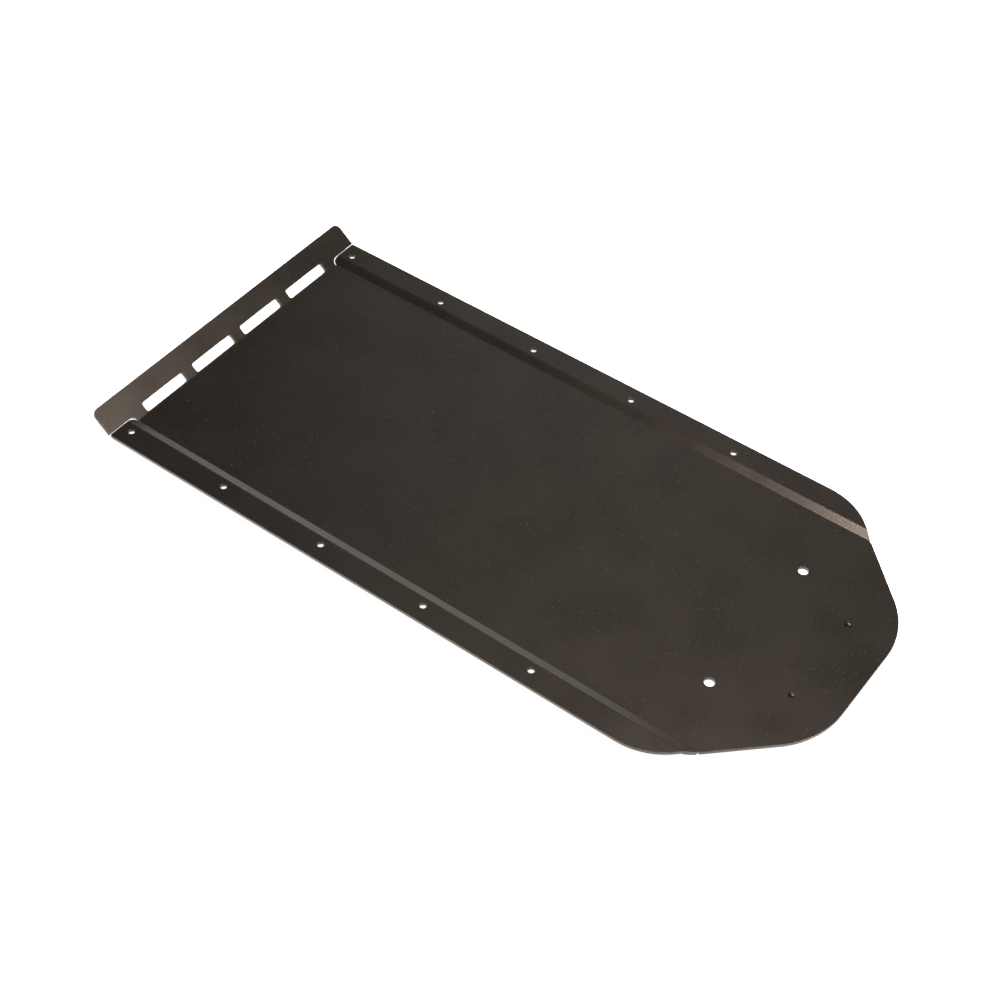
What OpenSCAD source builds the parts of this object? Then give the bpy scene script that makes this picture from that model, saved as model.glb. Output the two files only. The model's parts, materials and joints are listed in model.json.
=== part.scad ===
// Bolt-on belly skid plate: one formed sheet with a sunken pan, a joggled bolting rail down each side,
// an upturned slotted rear flange and a tapered nose that carries two riveted domes.
// +X points to the nose, +Y to the left, +Z up. The origin is the centre of the rail bolt pattern,
// on the plane where the rails seat against the machine.

/* [Sheet] */
// Thickness of the sheet
sheet_t = 3; // [2:0.5:4]
// Inside radius of every bend
bend_r = 3; // [2:0.5:5]

/* [Outline] */
// Overall width across the two rails
plate_w = 307; // [300:1:330]
// From the foremost rail bolt to the tip of the nose
nose_reach = 199.5; // [180:0.5:220]
// From the foremost rail bolt to where the side and nose chamfer lines would meet
shoulder_reach = 106.5; // [98:0.5:115]
// Radius that blends each side into its nose chamfer
shoulder_r = 58; // [40:1:60]
// How far each nose chamfer turns in from the side
nose_turn = 44; // [42:0.5:46]
// Radius that blends each nose chamfer into the tip
nose_r = 70; // [40:1:80]

/* [Pan] */
// Width of the flat pan between the joggles
pan_w = 250; // [230:1:256]
// Width of each sloping joggle, seen from above
joggle_w = 9; // [8:0.5:9]
// How far the pan lies below the rails
pan_drop = 3; // [2:0.5:4]

/* [Rear flange] */
// From the rearmost rail bolt back to the start of the rear bend
rear_reach = 6; // [4:0.5:8]
// How far the rear flange is bent up from level
flange_angle = 40; // [25:1:50]
// Length of the flat part of the rear flange
flange_len = 27; // [22:1:40]
// Radius of the rear flange's two upper corners
flange_corner_r = 6; // [3:0.5:10]

/* [Slots] */
// Length of each drain slot
slot_len = 48; // [30:0.5:52]
// Height of each drain slot
slot_h = 8.5; // [6:0.5:12]
// Distance between neighbouring slot centres
slot_pitch = 59.5; // [56:0.5:62]
// Corner radius of the drain slots
slot_corner_r = 2; // [1:0.5:2.5]

/* [Bolt holes] */
// Number of bolts along each rail
rail_bolts = 5; // [3:2:5]
// Distance between neighbouring rail bolts
rail_pitch = 100; // [90:1:110]
// Distance between the two rows of rail bolts
rail_rows = 280; // [279:1:284]
// Rail bolt hole, clearance for M5
rail_hole_d = 5.5; // [5.3:0.1:6.6]
// From the foremost rail bolt to the two nose bolts
nose_bolt_reach = 108; // [100:0.5:115]
// Distance between the two nose bolts
nose_bolt_gap = 135; // [100:1:150]
// Nose bolt hole, clearance for M8
nose_hole_d = 8.4; // [8.4:0.1:10]

/* [Rivets] */
// From the foremost rail bolt to the two rivets
rivet_reach = 162; // [155:0.5:170]
// Distance between the two rivets
rivet_gap = 83; // [60:1:90]
// Shank of each rivet
rivet_shank_d = 3.2; // [3:0.1:4]
// Rivet holes in the pan and the washers
rivet_hole_d = 3.3; // [3.1:0.1:4.2]
// Domed head across
rivet_head_d = 5.8; // [5.6:0.1:7]
// Domed head height
rivet_head_h = 2.4; // [1.5:0.1:2.6]
// Flattened tail across
rivet_tail_d = 5; // [5:0.1:6]
// Flattened tail height
rivet_tail_h = 1.5; // [1:0.1:2]
// Backing washer across
washer_d = 8; // [7:0.5:10]
// Backing washer thickness
washer_t = 1; // [0.6:0.1:1.5]

/* [Hidden] */
$fn = 96;

// How far cuts run past the surface that they open
clear = 10;
// Straight steps along each bend and each blend of the outline
arc_steps = 16;

// Rail bolts and the lengths that are counted from them
front_bolt_x = (rail_bolts - 1) / 2 * rail_pitch;
nose_x = front_bolt_x + nose_reach;
nose_bolt_x = front_bolt_x + nose_bolt_reach;
rivet_x = front_bolt_x + rivet_reach;
rear_bend_x = -front_bolt_x - rear_reach;

// Outline of the nose: the end of each rail is cut off by half a right angle, and past a small notch
// at the foot of the joggle the pan's own chamfer runs on to the tip
half_w = plate_w / 2;
half_pan = pan_w / 2;
corner_gap = 0.5;
rail_turn = 45;
shoulder_x = front_bolt_x + shoulder_reach;
shoulder_tangent = shoulder_r * tan(rail_turn / 2);
notch_r = 1;
notch_step = 0.5;
notch_y = half_pan + corner_gap;
rail_tip_x = shoulder_x + half_w - notch_y;
notch_x = rail_tip_x + notch_step;
nose_half_w = notch_y - (nose_x - notch_x) * tan(nose_turn);
nose_tangent = nose_r * tan((90 - nose_turn) / 2);

// Joggle section: two equal bends joined by a straight web, centred through the sheet
rail_inner = half_pan + joggle_w;
mid_r = bend_r + sheet_t / 2;
web_reach = sqrt(joggle_w ^ 2 + (2 * mid_r - pan_drop) ^ 2);
web_angle = atan2(joggle_w, 2 * mid_r - pan_drop) - acos(2 * mid_r / web_reach);

// Relief between the rear flange's two ears and the ends of the rails, so that neither bend tears the other
rail_overlap = 4.9;
rail_end_x = rear_bend_x - rail_overlap;
rail_corner_r = 1.5;
ear_gap = 4;
relief_r = 6;
relief_up = -2;
relief_y = half_pan - corner_gap + relief_r;

// Where the slots start, counted up the flange from the end of the rear bend
slot_up = -0.5;

// Section across the sheet, drawn with Y across and Z up
module joggle_section() {
    left = left_section();
    right = [for (i = [len(left) - 1:-1:0]) [-left[i].x, left[i].y]];
    polygon(concat(left, right));
}

// The left half of that section: out along the top from pan to rail, and back along the underside
function left_section() =
    let (
        foot = [half_pan, bend_r - pan_drop],
        crest = [rail_inner, -bend_r - sheet_t],
        edge = half_w + clear
    )
    concat(
        arc(foot, bend_r, -90, web_angle - 90),
        arc(crest, bend_r + sheet_t, web_angle + 90, 90),
        [[edge, 0], [edge, -sheet_t]],
        arc(crest, bend_r, 90, web_angle + 90),
        arc(foot, bend_r + sheet_t, web_angle - 90, -90)
    );

// Points along an arc, from one angle to another
function arc(centre, r, from, to) = [
    for (i = [0:arc_steps])
        let (angle = from + (to - from) * i / arc_steps)
        centre + r * [cos(angle), sin(angle)]
];

// Everything but the rear flange, seen from above: straight sides, chamfered nose, round blends
module plan_outline() {
    left = left_edge();
    right = [for (i = [len(left) - 1:-1:0]) [left[i].x, -left[i].y]];
    polygon(concat(left, right));
}

// The outline down the left side, from the rear bend to the tip
function left_edge() = concat(
    // The end of the rail: round where it leaves the pan, and round at its outer corner
    arc([rear_bend_x, half_pan + corner_gap + rail_overlap], rail_overlap, 270, 180),
    arc([rail_end_x + rail_corner_r, half_w - rail_corner_r], rail_corner_r, 180, 90),
    // The blend from side to chamfer, the step at the notch, and the blend from chamfer to tip
    arc([shoulder_x - shoulder_tangent, half_w - shoulder_r], shoulder_r, 90, 90 - rail_turn),
    [[rail_tip_x, notch_y], [notch_x, notch_y]],
    arc([nose_x - nose_r, nose_half_w - nose_tangent], nose_r, 90 - nose_turn, 0)
);

// The pan with its joggled rails, before the holes
module formed_sheet() {
    intersection() {
        translate([0, 0, -pan_drop - sheet_t - clear])
            linear_extrude(pan_drop + sheet_t + 2 * clear)
                difference() {
                    plan_outline();
                    // A small notch lets each joggle end cleanly at the nose chamfer
                    for (side = [-1, 1])
                        translate([notch_x, side * notch_y])
                            circle(r = notch_r);
                }
        translate([rail_end_x - clear, 0, 0])
            rotate([90, 0, 90])
                linear_extrude(nose_x - rail_end_x + 2 * clear)
                    joggle_section();
    }
}

// Section of the rear flange about its bend's centre: a tongue into the pan, the bend, and the flat above it
module rear_section() {
    up = [-cos(flange_angle), sin(flange_angle)];
    inside = arc([0, 0], bend_r, -90, -90 - flange_angle);
    outside = arc([0, 0], bend_r + sheet_t, -90 - flange_angle, -90);
    polygon(concat(
        [[clear, -bend_r]],
        inside,
        [inside[arc_steps] + flange_len * up, outside[0] + flange_len * up],
        outside,
        [[clear, -bend_r - sheet_t]]
    ));
}

// Moves to the rear flange's own frame: X up the flange from the end of its bend, Y across, Z out of its face
module on_flange() {
    translate([rear_bend_x, 0, -pan_drop + bend_r])
        rotate([0, flange_angle, 0])
            translate([0, 0, -bend_r])
                mirror([1, 0, 0])
                    children();
}

// The rear flange, whose tongue stops short of the joggles
module rear_flange() {
    difference() {
        translate([rear_bend_x, half_w, -pan_drop + bend_r])
            rotate([90, 0, 0])
                linear_extrude(plate_w)
                    rear_section();
        on_flange()
            translate([0, 0, -sheet_t - clear])
                linear_extrude(sheet_t + 2 * clear)
                    flange_cuts();
        for (side = [0, 1])
            mirror([0, side, 0])
                translate([rear_bend_x, half_pan - clear, -pan_drop - sheet_t - clear])
                    cube([2 * clear, half_w, 2 * clear]);
    }
}

// Slots, corner reliefs and round upper corners, in the rear flange's own frame
module flange_cuts() {
    for (i = [-1.5:1:1.5])
        translate([slot_up, i * slot_pitch - slot_len / 2])
            slot();
    for (side = [0, 1])
        mirror([0, side]) {
            translate([relief_up, relief_y])
                circle(r = relief_r);
            translate([-clear, relief_y - relief_r])
                square([clear + relief_up, half_w]);
            translate([-clear, relief_y])
                square([clear + ear_gap, half_w]);
            translate([flange_len - flange_corner_r, half_w - flange_corner_r])
                difference() {
                    square(flange_corner_r + clear);
                    circle(r = flange_corner_r);
                }
        }
}

// One drain slot with round corners
module slot() {
    translate([slot_corner_r, 0])
        square([slot_h - 2 * slot_corner_r, slot_len]);
    translate([0, slot_corner_r])
        square([slot_h, slot_len - 2 * slot_corner_r]);
    for (x = [slot_corner_r, slot_h - slot_corner_r], y = [slot_corner_r, slot_len - slot_corner_r])
        translate([x, y])
            circle(r = slot_corner_r);
}

// One upright hole through the whole height of the plate
module hole(x, y, d) {
    translate([x, y, -pan_drop - sheet_t - clear])
        cylinder(d = d, h = pan_drop + sheet_t + 2 * clear);
}

// The one bent sheet
module skid_plate() {
    color("#3c3531")
        difference() {
            union() {
                formed_sheet();
                rear_flange();
            }
            for (side = [-1, 1]) {
                for (i = [0:rail_bolts - 1])
                    hole(-front_bolt_x + i * rail_pitch, side * rail_rows / 2, rail_hole_d);
                hole(nose_bolt_x, side * nose_bolt_gap / 2, nose_hole_d);
                hole(rivet_x, side * rivet_gap / 2, rivet_hole_d);
            }
        }
}

// Button-head rivet: domed head above the pan, shank through pan and washer, flattened tail below
module rivet(side) {
    dome_r = ((rivet_head_d / 2) ^ 2 + rivet_head_h ^ 2) / (2 * rivet_head_h);
    grip = sheet_t + washer_t;
    color("#1f1c1a")
        translate([rivet_x, side * rivet_gap / 2, -pan_drop])
            rotate_extrude() {
                intersection() {
                    translate([0, rivet_head_h - dome_r])
                        circle(r = dome_r);
                    square([rivet_head_d, rivet_head_h]);
                }
                translate([0, -grip])
                    square([rivet_shank_d / 2, grip]);
                translate([0, -grip - rivet_tail_h])
                    square([(rivet_tail_d - rivet_tail_h) / 2, rivet_tail_h]);
                intersection() {
                    translate([(rivet_tail_d - rivet_tail_h) / 2, -grip - rivet_tail_h / 2])
                        circle(d = rivet_tail_h);
                    translate([0, -grip - rivet_tail_h])
                        square([rivet_tail_d, rivet_tail_h]);
                }
            }
}

// Flat washer between the pan's underside and a rivet's tail
module washer(side) {
    color("#2a2624")
        translate([rivet_x, side * rivet_gap / 2, -pan_drop - sheet_t - washer_t])
            difference() {
                cylinder(d = washer_d, h = washer_t);
                translate([0, 0, -clear])
                    cylinder(d = rivet_hole_d, h = washer_t + 2 * clear);
            }
}

skid_plate();
rivet(1);  // rivet_left
rivet(-1);  // rivet_right
washer(1);  // washer_left
washer(-1);  // washer_right
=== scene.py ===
import json
from math import acos, atan2, cos, hypot, pi, radians, sin, tan

import bmesh
import bpy
from mathutils import Matrix, Vector


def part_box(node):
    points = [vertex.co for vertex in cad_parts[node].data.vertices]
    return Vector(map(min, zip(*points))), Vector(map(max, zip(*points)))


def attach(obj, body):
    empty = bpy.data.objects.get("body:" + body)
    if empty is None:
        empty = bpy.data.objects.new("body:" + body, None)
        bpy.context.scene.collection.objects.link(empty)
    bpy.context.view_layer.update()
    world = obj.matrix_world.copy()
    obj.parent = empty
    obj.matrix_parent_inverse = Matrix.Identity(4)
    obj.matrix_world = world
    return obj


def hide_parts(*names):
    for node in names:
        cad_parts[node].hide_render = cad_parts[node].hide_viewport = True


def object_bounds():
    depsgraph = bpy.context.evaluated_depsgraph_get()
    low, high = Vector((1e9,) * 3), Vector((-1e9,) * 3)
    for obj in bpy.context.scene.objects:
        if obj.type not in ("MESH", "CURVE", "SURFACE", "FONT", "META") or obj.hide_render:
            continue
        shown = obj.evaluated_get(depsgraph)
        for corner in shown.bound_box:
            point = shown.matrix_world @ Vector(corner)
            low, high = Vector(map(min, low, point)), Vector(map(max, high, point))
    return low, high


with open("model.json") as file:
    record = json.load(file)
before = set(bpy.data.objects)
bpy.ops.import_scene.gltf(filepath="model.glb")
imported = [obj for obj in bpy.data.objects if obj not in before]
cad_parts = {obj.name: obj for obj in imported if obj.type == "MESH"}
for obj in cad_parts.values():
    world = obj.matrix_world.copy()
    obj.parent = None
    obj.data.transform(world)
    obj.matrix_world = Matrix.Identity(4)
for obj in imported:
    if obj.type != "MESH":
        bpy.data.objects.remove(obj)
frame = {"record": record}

cadBox = [list(corner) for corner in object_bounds()]
low, high = (Vector(corner) for corner in cadBox)
centre = (low + high) / 2
mounts = {mount["name"]: mount for mount in frame["record"]["mounts"]}
scene = bpy.context.scene
print("frame loaded, from", tuple(round(v, 4) for v in low), "to", tuple(round(v, 4) for v in high))


class Wire:
    # a number that varies over a surface, so that it can stand in a sum
    def __init__(self, finish, socket):
        self.finish = finish
        self.socket = socket

    def maths(self, operation, first, second):
        return self.finish.node("ShaderNodeMath", {"operation": operation}, {0: first, 1: second})

    def __add__(self, other):
        return self.maths("ADD", self, other)

    def __radd__(self, other):
        return self.maths("ADD", other, self)

    def __sub__(self, other):
        return self.maths("SUBTRACT", self, other)

    def __rsub__(self, other):
        return self.maths("SUBTRACT", other, self)

    def __mul__(self, other):
        return self.maths("MULTIPLY", self, other)

    def __rmul__(self, other):
        return self.maths("MULTIPLY", other, self)


class Finish:
    # the nodes of one material, or of the studio's sky
    def __init__(self, owner):
        owner.use_nodes = True
        self.owner = owner
        self.tree = owner.node_tree
        self.shader = self.tree.nodes.get("Principled BSDF") or self.tree.nodes["Background"]

    def node(self, kind, settings=None, inputs=None, output=0):
        made = self.tree.nodes.new(kind)
        for name, value in (settings or {}).items():
            setattr(made, name, value)
        for name, value in (inputs or {}).items():
            self.feed(made.inputs[name], value)
        return Wire(self, made.outputs[output])

    def feed(self, socket, value):
        if isinstance(value, Wire):
            self.tree.links.new(value.socket, socket)
        else:
            socket.default_value = value

    def noise(self, size, detail=2.0, roughness=0.5):
        # soft blotches of about that size, in metres
        place = self.node("ShaderNodeTexCoord", output="Object")
        return self.node("ShaderNodeTexNoise", {}, {
            "Vector": place, "Scale": 1 / size, "Detail": detail, "Roughness": roughness})

    def ramp(self, value, start, end, low=0.0, high=1.0):
        return self.node("ShaderNodeMapRange", {"interpolation_type": "SMOOTHSTEP"}, {
            "Value": value, "From Min": start, "From Max": end, "To Min": low, "To Max": high})

    def mix(self, factor, first, second):
        # two colours, one showing through the other
        return self.node("ShaderNodeMix", {"data_type": "RGBA"}, {0: factor, 6: first, 7: second}, 2)


coat = {
    "colour": (0.0112, 0.0091, 0.0076, 1),      # satin black powder, slightly warm
    "thinColour": (0.0230, 0.0200, 0.0175, 1),  # where the powder lies thinner
    "dustColour": (0.1300, 0.1150, 0.1000, 1),
    "roughness": 0.275,
    "roughnessSpread": 0.04,
    "grainRoughness": 0.03,
    "blotch": 0.060,                            # slow change of tone across the sheet
    "blotchSpan": (0.35, 0.65),                 # noise values between which a blotch fades in
    "grain": 0.0011,                            # size of the cured powder's grain
    "peel": 0.0045,                             # size of the long ripple in the coat
    "peelHeight": 1.2,                          # ripple height, counted in grain heights
    "bump": 0.000012,
    "paleLift": 1.16,                           # how much paler the coat gets at most
    "blotchShare": 0.5,                         # of that lift
    "grainShare": 0.35,
    "speck": 1.7,                               # size of a dust speck, counted in grains
    "speckSpan": (0.69, 0.74),
    "speckStrength": 0.16,
    "edgeRoughness": 0.26,
    "edgeSpan": (0.38, 0.62),
    "edgeThin": (0.25, 0.85),                   # least and most thinning of the powder on an edge
    "ior": 1.50,
    "tint": (1.0, 0.82, 0.68, 1),
}


def powderCoat(name, look):
    finish = Finish(bpy.data.materials.new(name))
    shader = finish.shader
    blotch = finish.ramp(finish.noise(look["blotch"], 3.0), *look["blotchSpan"])
    grain = finish.noise(look["grain"], 3.0, 0.6)
    peel = finish.noise(look["peel"], 1.0)
    speck = finish.ramp(finish.noise(look["grain"] * look["speck"], 1.0), *look["speckSpan"])
    edge = finish.node("ShaderNodeAttribute", {"attribute_name": "edgeWear"}, {}, "Fac")
    thin = edge * finish.ramp(finish.noise(look["peel"], 2.0), *look["edgeSpan"], *look["edgeThin"])
    lifted = tuple(v * look["paleLift"] for v in look["colour"][:3]) + (1,)
    base = finish.mix(look["blotchShare"] * blotch + look["grainShare"] * grain, look["colour"], lifted)
    base = finish.mix(thin, base, look["thinColour"])
    base = finish.mix(look["speckStrength"] * speck, base, look["dustColour"])
    finish.feed(shader.inputs["Base Color"], base)
    spread = look["roughnessSpread"]
    rough = look["roughness"] - 0.5 * spread + spread * blotch + look["grainRoughness"] * (grain - 0.5)
    rough = rough - (look["roughness"] - look["edgeRoughness"]) * edge
    finish.feed(shader.inputs["Roughness"], rough)
    height = grain + look["peelHeight"] * peel
    bump = finish.node("ShaderNodeBump", {}, {
        "Strength": 1.0, "Distance": look["bump"], "Height": height})
    finish.feed(shader.inputs["Normal"], bump)
    shader.inputs["IOR"].default_value = look["ior"]
    shader.inputs["Specular Tint"].default_value = look["tint"]
    return finish.owner


plate = {
    "thickness": 0.003,
    "bendRadius": 0.003,          # inside every bend
    "edgeRound": 0.00025,         # the coat rounds each cut edge
    "panWidth": 0.250,
    "joggleWidth": 0.009,
    "panDrop": 0.003,
    "flangeAngle": radians(40),
    "flangeCorner": 0.006,
    "rearReach": 0.006,           # from the rearmost rail bolt back to the rear bend
    "railOverlap": 0.0049,
    "railCorner": 0.0015,
    "cornerGap": 0.0005,
    "earGap": 0.004,
    "reliefRadius": 0.006,
    "reliefUp": -0.002,
    "shoulderReach": 0.1065,      # from the foremost rail bolt to where side and chamfer would meet
    "shoulderRadius": 0.058,
    "noseTurn": radians(44),      # how far the pan's chamfer turns in from the side
    "noseRadius": 0.070,
    "notchRadius": 0.001,
    "notchStep": 0.0005,          # the pan's chamfer stands this far proud of the rail's
    "slots": 4,
    "slotLength": 0.048,
    "slotHeight": 0.0085,
    "slotPitch": 0.0595,
    "slotCorner": 0.002,
    "slotUp": -0.0005,
    "grid": 0.020,                # spacing of the mesh on the flat parts
    "bendSteps": 8,
    "edgeSteps": 4,
    "arcSteps": 2,                # in a quarter turn of an arc, and so many more for each metre of radius
    "arcStepsPerMetre": 300,
    "fewestArcSteps": 6,
}

halfWide = high.y
halfPan = plate["panWidth"] / 2
railInner = halfPan + plate["joggleWidth"]
outerRadius = plate["bendRadius"] + plate["thickness"]
midRadius = (plate["bendRadius"] + outerRadius) / 2
fall = 2 * midRadius - plate["panDrop"]
webAngle = atan2(plate["joggleWidth"], fall) - acos(2 * midRadius / hypot(plate["joggleWidth"], fall))
railBolts = mounts["rail_bolts_outer"]
frontBolt = railBolts["dims"]["spacing_x_mm"] / 2000
rearBend = -frontBolt - plate["rearReach"]
bendLength = plate["bendRadius"] * plate["flangeAngle"]
flangeStart = rearBend - bendLength          # along the unrolled sheet


def flangeLength():
    # the flange's flat part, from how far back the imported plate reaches
    return (rearBend - outerRadius * sin(plate["flangeAngle"]) - low.x) / cos(plate["flangeAngle"])


def arc(x, y, radius, start, end):
    quarter = plate["arcSteps"] + plate["arcStepsPerMetre"] * radius
    steps = max(plate["fewestArcSteps"], int(quarter * abs(end - start) / (pi / 2)))
    return [(x + radius * cos(start + (end - start) * i / steps),
             y + radius * sin(start + (end - start) * i / steps)) for i in range(steps + 1)]


def plateEdge():
    # the unrolled sheet's left edge, from the top of the rear flange to the tip of the nose
    p = plate
    top = flangeStart - flangeLength()
    corner = p["flangeCorner"]
    ear = flangeStart - p["earGap"]
    relief = flangeStart - p["reliefUp"]
    reliefY = halfPan - p["cornerGap"] + p["reliefRadius"]
    railEnd = rearBend - p["railOverlap"]
    innerRail = halfPan + p["cornerGap"]
    shoulder = frontBolt + p["shoulderReach"]
    notchX = shoulder + halfWide - innerRail + p["notchStep"]
    swing = acos(p["notchStep"] / 2 ** 0.5 / p["notchRadius"])
    noseHalf = innerRail - (high.x - notchX) * tan(p["noseTurn"])
    points = arc(top + corner, halfWide - corner, corner, pi, pi / 2)
    points += [(ear, halfWide)]
    points += arc(relief, reliefY, p["reliefRadius"], pi, 1.5 * pi)
    points += [(rearBend, halfPan - p["cornerGap"])]
    points += arc(rearBend, innerRail + p["railOverlap"], p["railOverlap"], 1.5 * pi, pi)
    points += arc(railEnd + p["railCorner"], halfWide - p["railCorner"], p["railCorner"], pi, pi / 2)
    points += arc(shoulder - p["shoulderRadius"] * tan(pi / 8), halfWide - p["shoulderRadius"],
                  p["shoulderRadius"], pi / 2, pi / 4)
    points += arc(notchX, innerRail, p["notchRadius"], 1.25 * pi - swing, 2 * pi - p["noseTurn"])
    noseTangent = p["noseRadius"] * tan(pi / 4 - p["noseTurn"] / 2)
    points += arc(high.x - p["noseRadius"], noseHalf - noseTangent,
                  p["noseRadius"], pi / 2 - p["noseTurn"], 0)
    return points


def plateHoles():
    # each hole as a loop of points in the unrolled sheet
    loops = []
    for name, mount in mounts.items():
        if mount["kind"] != "bolt_pattern":
            continue
        size = mount["dims"]
        acrossX = size.get("spacing_x_mm", 0) / 2000
        acrossY = size["spacing_y_mm"] / 2000
        for x in sorted({-acrossX, acrossX}):
            for y in (-acrossY, acrossY):
                loops.append(circle(mount["pos_m"][0] + x, mount["pos_m"][1] + y, size["hole_r_mm"] / 1000))
    for side in ("left", "right"):
        middle = rivetPlace(side)
        loops.append(circle(middle.x, middle.y, rivet["holeRadius"]))
    corner = plate["slotCorner"]
    start = flangeStart - plate["slotUp"] - corner
    end = start - plate["slotHeight"] + 2 * corner
    reach = plate["slotLength"] / 2 - corner
    for i in range(plate["slots"]):
        y = (i - (plate["slots"] - 1) / 2) * plate["slotPitch"]
        loops.append(arc(start, y + reach, corner, 0, pi / 2)
                     + arc(end, y + reach, corner, pi / 2, pi)
                     + arc(end, y - reach, corner, pi, 1.5 * pi)
                     + arc(start, y - reach, corner, 1.5 * pi, 2 * pi))
    return loops


def circle(x, y, radius, steps=48):
    return [(x + radius * cos(2 * pi * i / steps),
             y + radius * sin(2 * pi * i / steps)) for i in range(steps)]


def onFlange(x, y):
    # whether a point of the unrolled sheet belongs to the rear flange and not to a rail's end
    away = abs(y) - halfPan - plate["cornerGap"] - plate["railOverlap"]
    if x > rearBend:
        return False
    if away > 0:
        return x < rearBend - plate["railOverlap"] - plate["cornerGap"]
    return hypot(x - rearBend, away) > plate["railOverlap"] + plate["cornerGap"]


def bent(x, y):
    # where a point of the unrolled sheet's upper face goes, and then the ways that
    # the sheet's X, its Y and the way out of its face point there
    if onFlange(x, y):
        run = rearBend - x
        angle = min(run / plate["bendRadius"], plate["flangeAngle"])
        past = max(0, run - bendLength)
        point = Vector((rearBend - plate["bendRadius"] * sin(angle) - past * cos(angle), y,
                        plate["bendRadius"] * (1 - cos(angle)) + past * sin(angle) - plate["panDrop"]))
        return (point, Vector((cos(angle), 0, -sin(angle))), Vector((0, 1, 0)),
                Vector((sin(angle), 0, cos(angle))))
    side = 1 if y > 0 else -1
    out = abs(y) - halfPan
    rest = railInner - abs(y)
    if out <= 0:
        angle = 0
        z = -plate["panDrop"]
    elif rest <= 0:
        angle = 0
        z = 0
    elif out < plate["bendRadius"] * sin(webAngle):
        angle = asinSafe(out / plate["bendRadius"])
        z = plate["bendRadius"] * (1 - cos(angle)) - plate["panDrop"]
    elif rest < outerRadius * sin(webAngle):
        angle = asinSafe(rest / outerRadius)
        z = -outerRadius * (1 - cos(angle))
    else:
        angle = webAngle
        z = (plate["bendRadius"] * (1 - cos(angle)) - plate["panDrop"]
             + (out - plate["bendRadius"] * sin(angle)) * tan(angle))
    return (Vector((x, y, z)), Vector((1, 0, 0)), Vector((0, cos(angle), side * sin(angle))),
            Vector((0, -side * sin(angle), cos(angle))))


def asinSafe(value):
    return atan2(value, (max(0, 1 - value * value)) ** 0.5)


def outward(loop):
    # for each point of a loop that has the sheet on its left, the way out of the sheet
    # and how far a mitre reaches
    count = len(loop)
    found = []
    for i in range(count):
        before = Vector(loop[i]) - Vector(loop[i - 1])
        after = Vector(loop[(i + 1) % count]) - Vector(loop[i])
        first = Vector((before.y, -before.x)).normalized()
        second = Vector((after.y, -after.x)).normalized()
        middle = (first + second).normalized()
        found.append((middle, 1 / max(0.5, middle.dot(first))))
    return found


def clean(loop):
    # leaves out points that fall on the one before
    kept = []
    for point in loop:
        if not kept or (Vector(point) - Vector(kept[-1])).length > 1e-6:
            kept.append(point)
    if (Vector(kept[0]) - Vector(kept[-1])).length < 1e-6:
        kept.pop()
    return kept


def sheetEdge(work, loop, layers):
    # the rounded cut edge along one loop, as rings of faces, and the two rings that the flat faces meet
    radius = plate["edgeRound"]
    steps = plate["edgeSteps"]
    ways = outward(loop)
    rings = []
    turns = [0.5 * pi * i / steps for i in range(steps + 1)]
    for angle, below in [(a, False) for a in turns] + [(a, True) for a in reversed(turns)]:
        inset = radius * (1 - sin(angle))
        depth = radius * (1 - cos(angle))
        ring = []
        for (x, y), (way, reach) in zip(loop, ways):
            place = Vector((x, y)) - way * inset * reach
            vertex = work.verts.new((place.x, place.y, plate["thickness"] - depth if below else depth))
            up = -cos(angle) if below else cos(angle)
            vertex[layers["facing"]] = (way.x * sin(angle), way.y * sin(angle), up)
            vertex[layers["wear"]] = sin(angle)
            ring.append(vertex)
        rings.append(ring)
    count = len(loop)
    for one, two in zip(rings, rings[1:]):
        for i in range(count):
            j = (i + 1) % count
            work.faces.new((one[i], two[i], two[j], one[j]))
    return rings[0], rings[-1]


def ringEdges(work, ring):
    return [work.edges.get((ring[i - 1], ring[i])) for i in range(len(ring))]


def stations():
    # where the unrolled sheet is cut across, so that its bends come out round and its flats even
    steps = plate["bendSteps"]
    xs = [rearBend - bendLength * i / steps for i in range(steps + 1)]
    ys = []
    for i in range(steps + 1):
        angle = webAngle * i / steps
        ys.append(halfPan + plate["bendRadius"] * sin(angle))
        ys.append(railInner - outerRadius * sin(angle))
    grid = plate["grid"]
    xs += [low.x + grid * (i + 0.5) for i in range(int((high.x - low.x) / grid))]
    ys += [grid * (i + 0.5) for i in range(int(halfPan / grid))]
    return xs, ys + [-y for y in ys]


def faceOutwards(work):
    bmesh.ops.recalc_face_normals(work, faces=work.faces[:])
    if work.calc_volume(signed=True) < 0:
        bmesh.ops.reverse_faces(work, faces=work.faces[:])
    for face in work.faces:
        face.smooth = True


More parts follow.
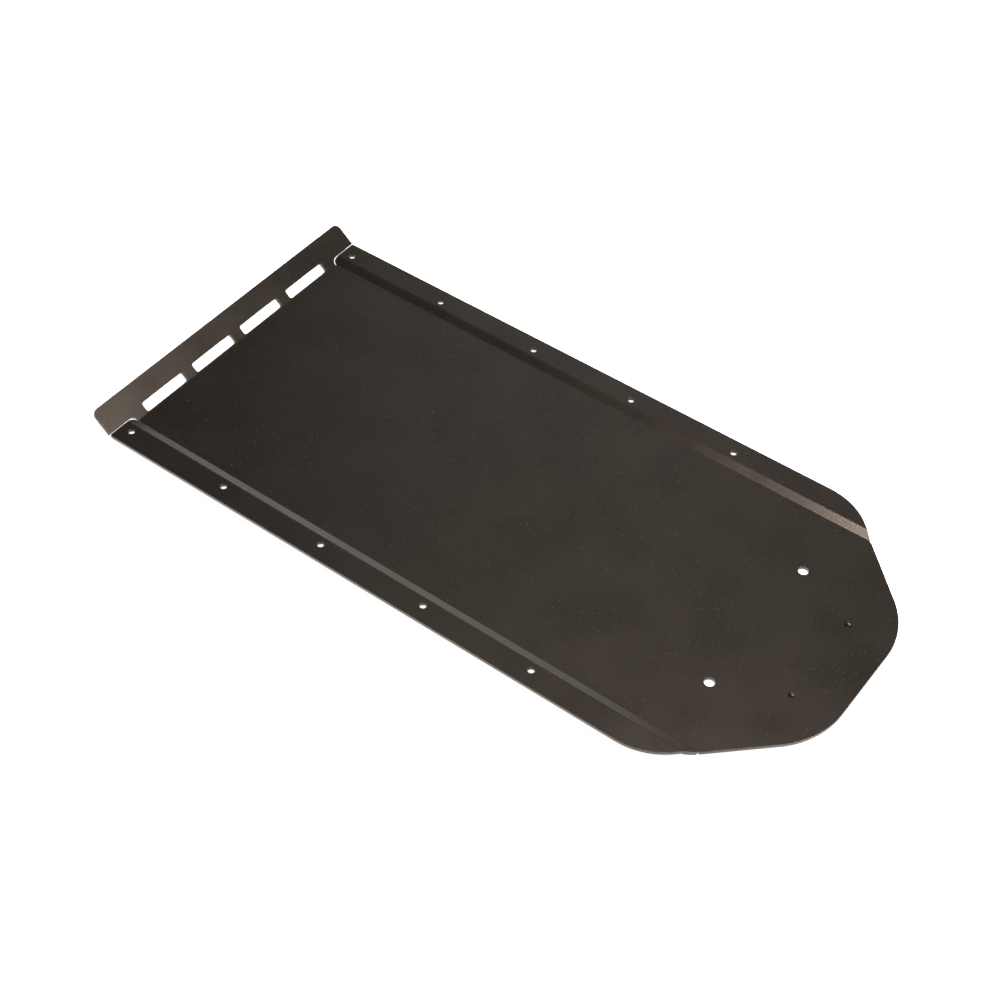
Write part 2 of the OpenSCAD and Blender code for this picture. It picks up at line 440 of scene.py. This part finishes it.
def makePlate():
    work = bmesh.new()
    layers = {"facing": work.verts.layers.float_vector.new("facing"),
              "wear": work.verts.layers.float.new("edgeWear")}
    left = plateEdge()
    outline = clean([(x, -y) for x, y in left] + list(reversed(left)))
    loops = [outline] + [list(reversed(clean(loop))) for loop in plateHoles()]
    tops = []
    bottoms = []
    for loop in loops:
        top, bottom = sheetEdge(work, loop, layers)
        tops += ringEdges(work, top)
        bottoms += ringEdges(work, bottom)
    for edges, way in ((tops, 1), (bottoms, -1)):
        bmesh.ops.triangle_fill(work, use_beauty=True, edges=edges, normal=(0, 0, way))
    xs, ys = stations()
    for values, axis in ((xs, 0), (ys, 1)):
        for value in values:
            spot = [0, 0, 0]
            facing = [0, 0, 0]
            spot[axis] = value
            facing[axis] = 1
            bmesh.ops.bisect_plane(work, geom=work.verts[:] + work.edges[:] + work.faces[:],
                                   dist=1e-7, plane_co=spot, plane_no=facing)
    bmesh.ops.dissolve_degenerate(work, dist=1e-7, edges=work.edges[:])
    facings = []
    for vertex in work.verts:
        x, y, depth = vertex.co
        point, alongX, alongY, out = bent(x, y)
        turn = vertex[layers["facing"]]
        vertex.co = point - depth * out
        facings.append((turn.x * alongX + turn.y * alongY + turn.z * out).normalized())
    faceOutwards(work)
    mesh = bpy.data.meshes.new("skidPlate")
    work.to_mesh(mesh)
    work.free()
    mesh.normals_split_custom_set_from_vertices(facings)
    piece = bpy.data.objects.new("skidPlate", mesh)
    scene.collection.objects.link(piece)
    piece.data.materials.append(powderCoat("satinBlackPowderCoat", coat))
    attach(piece, "root")
    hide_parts("skid_plate")
    print("skid plate made,", len(mesh.polygons), "faces")


rivet = {
    "holeRadius": 0.00165,
    "shankRadius": 0.0016,
    "headHeight": 0.0024,
    "headEdge": 0.00025,        # rounding where the dome meets the sheet
    "tailHeight": 0.0015,
    "tailRadius": 0.0025,
    "domeSteps": 14,
    "tailSteps": 12,
    "colour": (0.0125, 0.0108, 0.0098, 1),
    "roughness": 0.30,
    "roughnessSpread": 0.05,
    "edgeRoughness": 0.30,
    "bump": 0.000012,
}

washer = {
    "edge": 0.00012,
    "colour": (0.0240, 0.0205, 0.0180, 1),
    "roughness": 0.46,
    "roughnessSpread": 0.06,
    "edgeRoughness": 0.40,
    "bump": 0.000015,
}


def rivetPlace(side):
    first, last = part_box("rivet_" + side)
    return (first + last) / 2


def lathe(name, x, y, profile, closed=False, steps=64):
    # turns a profile of (radius, height, edge wear) about an upright line; a radius of nought
    # closes an end, and a closed profile runs back to where it began
    work = bmesh.new()
    wear = work.verts.layers.float.new("edgeWear")
    rings = []
    for radius, z, worn in profile:
        if radius < 1e-7:
            ring = [work.verts.new((x, y, z))]
        else:
            ring = [work.verts.new((across, along, z)) for across, along in circle(x, y, radius, steps)]
        for vertex in ring:
            vertex[wear] = worn
        rings.append(ring)
    if closed:
        rings.append(rings[0])
    for one, two in zip(rings, rings[1:]):
        for i in range(steps):
            j = (i + 1) % steps
            corners = [one[i % len(one)], two[i % len(two)], two[j % len(two)], one[j % len(one)]]
            corners = list(dict.fromkeys(corners))
            if len(corners) > 2:
                work.faces.new(corners)
    faceOutwards(work)
    mesh = bpy.data.meshes.new(name)
    work.to_mesh(mesh)
    work.free()
    piece = bpy.data.objects.new(name, mesh)
    scene.collection.objects.link(piece)
    return piece


def makeRivet(side, material):
    first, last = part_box("rivet_" + side)
    middle = rivetPlace(side)
    seat = last.z - rivet["headHeight"]          # the pan's upper face
    headRadius = (last.x - first.x) / 2
    domeRadius = (headRadius ** 2 + rivet["headHeight"] ** 2) / (2 * rivet["headHeight"])
    sweep = atan2(headRadius, domeRadius - rivet["headHeight"])
    profile = []
    for i in range(rivet["domeSteps"] + 1):      # the dome, from its crown outwards
        angle = sweep * i / rivet["domeSteps"]
        profile.append((domeRadius * sin(angle), last.z - domeRadius * (1 - cos(angle)), 0.0))
    profile[-1] = (headRadius, seat + rivet["headEdge"] * 0.5, 0.6)
    profile.append((headRadius - rivet["headEdge"] * 0.3, seat, 0.4))
    profile.append((rivet["shankRadius"], seat, 0.0))
    tailTop = first.z + rivet["tailHeight"]
    profile.append((rivet["shankRadius"], tailTop, 0.0))
    half = rivet["tailHeight"] / 2
    for i in range(rivet["tailSteps"] + 1):      # the flattened tail, with a round rim
        angle = pi / 2 - pi * i / rivet["tailSteps"]
        radius = rivet["tailRadius"] - half + half * cos(angle)
        profile.append((radius, first.z + half + half * sin(angle), 0.0))
    profile.append((0, first.z, 0.0))
    piece = lathe("rivet" + side.capitalize(), middle.x, middle.y, profile)
    piece.data.materials.append(material)
    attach(piece, "root")
    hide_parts("rivet_" + side)


def makeWasher(side, material):
    first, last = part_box("washer_" + side)
    middle = (first + last) / 2
    outer = (last.x - first.x) / 2
    inner = rivet["holeRadius"]
    edge = washer["edge"]
    profile = [(inner + edge, last.z, 0.0), (outer - edge, last.z, 0.0), (outer, last.z - edge, 0.6),
               (outer, first.z + edge, 0.6), (outer - edge, first.z, 0.0), (inner + edge, first.z, 0.0),
               (inner, first.z + edge, 0.3), (inner, last.z - edge, 0.3)]
    piece = lathe("washer" + side.capitalize(), middle.x, middle.y, profile, closed=True)
    piece.data.materials.append(material)
    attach(piece, "root")
    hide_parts("washer_" + side)


studio = {
    "azimuth": radians(35.117),
    "elevation": radians(47.029),
    "roll": radians(1.936),
    "distance": 1.49188,
    "aim": Vector((-0.0056, -0.01443, -0.0080)),      # from the model's centre
    "lens": 67.85,
    "sensor": 36,
    "nearest": 0.01,                                  # nothing closer to the camera is drawn
    "lampColour": (1, 0.985, 0.97),
    "floorSize": 12.0,
    "floorColour": (0.86, 0.86, 0.86, 1),
    "floorRoughness": 0.75,
    "fibre": 0.02,                                    # size of the paper's mottle
    "fibreSpan": (0.3, 0.7),
    "fibreShade": 0.985,                              # how much darker the mottle is
    "floorGlow": 0.95,
    "horizon": (0.92, 0.92, 0.92, 1),
    "overhead": (0.02, 0.02, 0.02, 1),
    "skyFade": (0.03, 0.16),                          # heights over which the sky goes dark
}

lamps = {
    "keySoftbox": {"place": (0.24, 0.19, 1.6), "aim": (0.24, 0.19, 0.0), "size": (0.45, 0.45), "power": 25},
    "noseSoftbox": {"place": (1.49, 0.31, 1.6), "aim": (0.0, 0.0, 0.0), "size": (0.30, 0.30), "power": 54},
    "backCard": {"place": (-1.16, 2.2, 1.0), "aim": (-1.16, 0.0, 1.0), "size": (1.55, 1.2), "power": 11.3},
    "highCard": {"place": (-0.71, 1.27, 1.8), "aim": (0.0, 0.0, 0.0), "size": (1.15, 1.15), "power": 1.3},
}


def makeCamera():
    look = Vector((-sin(studio["azimuth"]) * cos(studio["elevation"]),
                   cos(studio["azimuth"]) * cos(studio["elevation"]), -sin(studio["elevation"])))
    camera = bpy.data.objects.new("camera", bpy.data.cameras.new("camera"))
    camera.data.lens = studio["lens"]
    camera.data.sensor_width = studio["sensor"]
    camera.data.clip_start = studio["nearest"]
    turned = look.to_track_quat("-Z", "Y").to_matrix().to_4x4() @ Matrix.Rotation(studio["roll"], 4, "Z")
    camera.matrix_world = Matrix.Translation(centre + studio["aim"] - look * studio["distance"]) @ turned
    scene.collection.objects.link(camera)
    scene.camera = camera


def makeFloor():
    work = bmesh.new()
    half = studio["floorSize"] / 2
    corners = [work.verts.new((centre.x + x * half, centre.y + y * half, low.z))
               for x, y in ((-1, -1), (1, -1), (1, 1), (-1, 1))]
    work.faces.new(corners)
    mesh = bpy.data.meshes.new("floor")
    work.to_mesh(mesh)
    work.free()
    floor = bpy.data.objects.new("floor", mesh)
    scene.collection.objects.link(floor)
    finish = Finish(bpy.data.materials.new("palePaper"))
    fibre = finish.ramp(finish.noise(studio["fibre"], 4.0), *studio["fibreSpan"])
    pale = studio["floorColour"]
    shaded = tuple(v * studio["fibreShade"] for v in pale[:3]) + (1,)
    finish.feed(finish.shader.inputs["Base Color"], finish.mix(fibre, pale, shaded))
    finish.shader.inputs["Roughness"].default_value = studio["floorRoughness"]
    finish.shader.inputs["Emission Color"].default_value = (1, 1, 1, 1)
    finish.shader.inputs["Emission Strength"].default_value = studio["floorGlow"]
    mesh.materials.append(finish.owner)


def makeLights():
    for name, setting in lamps.items():
        light = bpy.data.lights.new(name, "AREA")
        light.shape = "RECTANGLE"
        light.size, light.size_y = setting["size"]
        light.energy = setting["power"]
        light.color = studio["lampColour"]
        lamp = bpy.data.objects.new(name, light)
        lamp.location = setting["place"]
        lamp.rotation_euler = (Vector(setting["aim"]) - lamp.location).to_track_quat("-Z", "Y").to_euler()
        scene.collection.objects.link(lamp)
    sky = Finish(bpy.data.worlds.new("studio"))
    way = sky.node("ShaderNodeTexCoord", output="Generated")
    height = sky.node("ShaderNodeSeparateXYZ", {}, {"Vector": way}, "Z")
    sky.feed(sky.shader.inputs["Color"],
             sky.mix(sky.ramp(height, *studio["skyFade"]), studio["horizon"], studio["overhead"]))
    scene.world = sky.owner
    scene.view_settings.view_transform = "Standard"


makeCamera()
makeFloor()
makeLights()
print("studio made")

makePlate()
rivetFinish = powderCoat("rivetCoat", {**coat, **rivet})
washerFinish = powderCoat("washerCoat", {**coat, **washer})
for side in ("left", "right"):
    makeRivet(side, rivetFinish)
    makeWasher(side, washerFinish)
print("rivets and washers made")
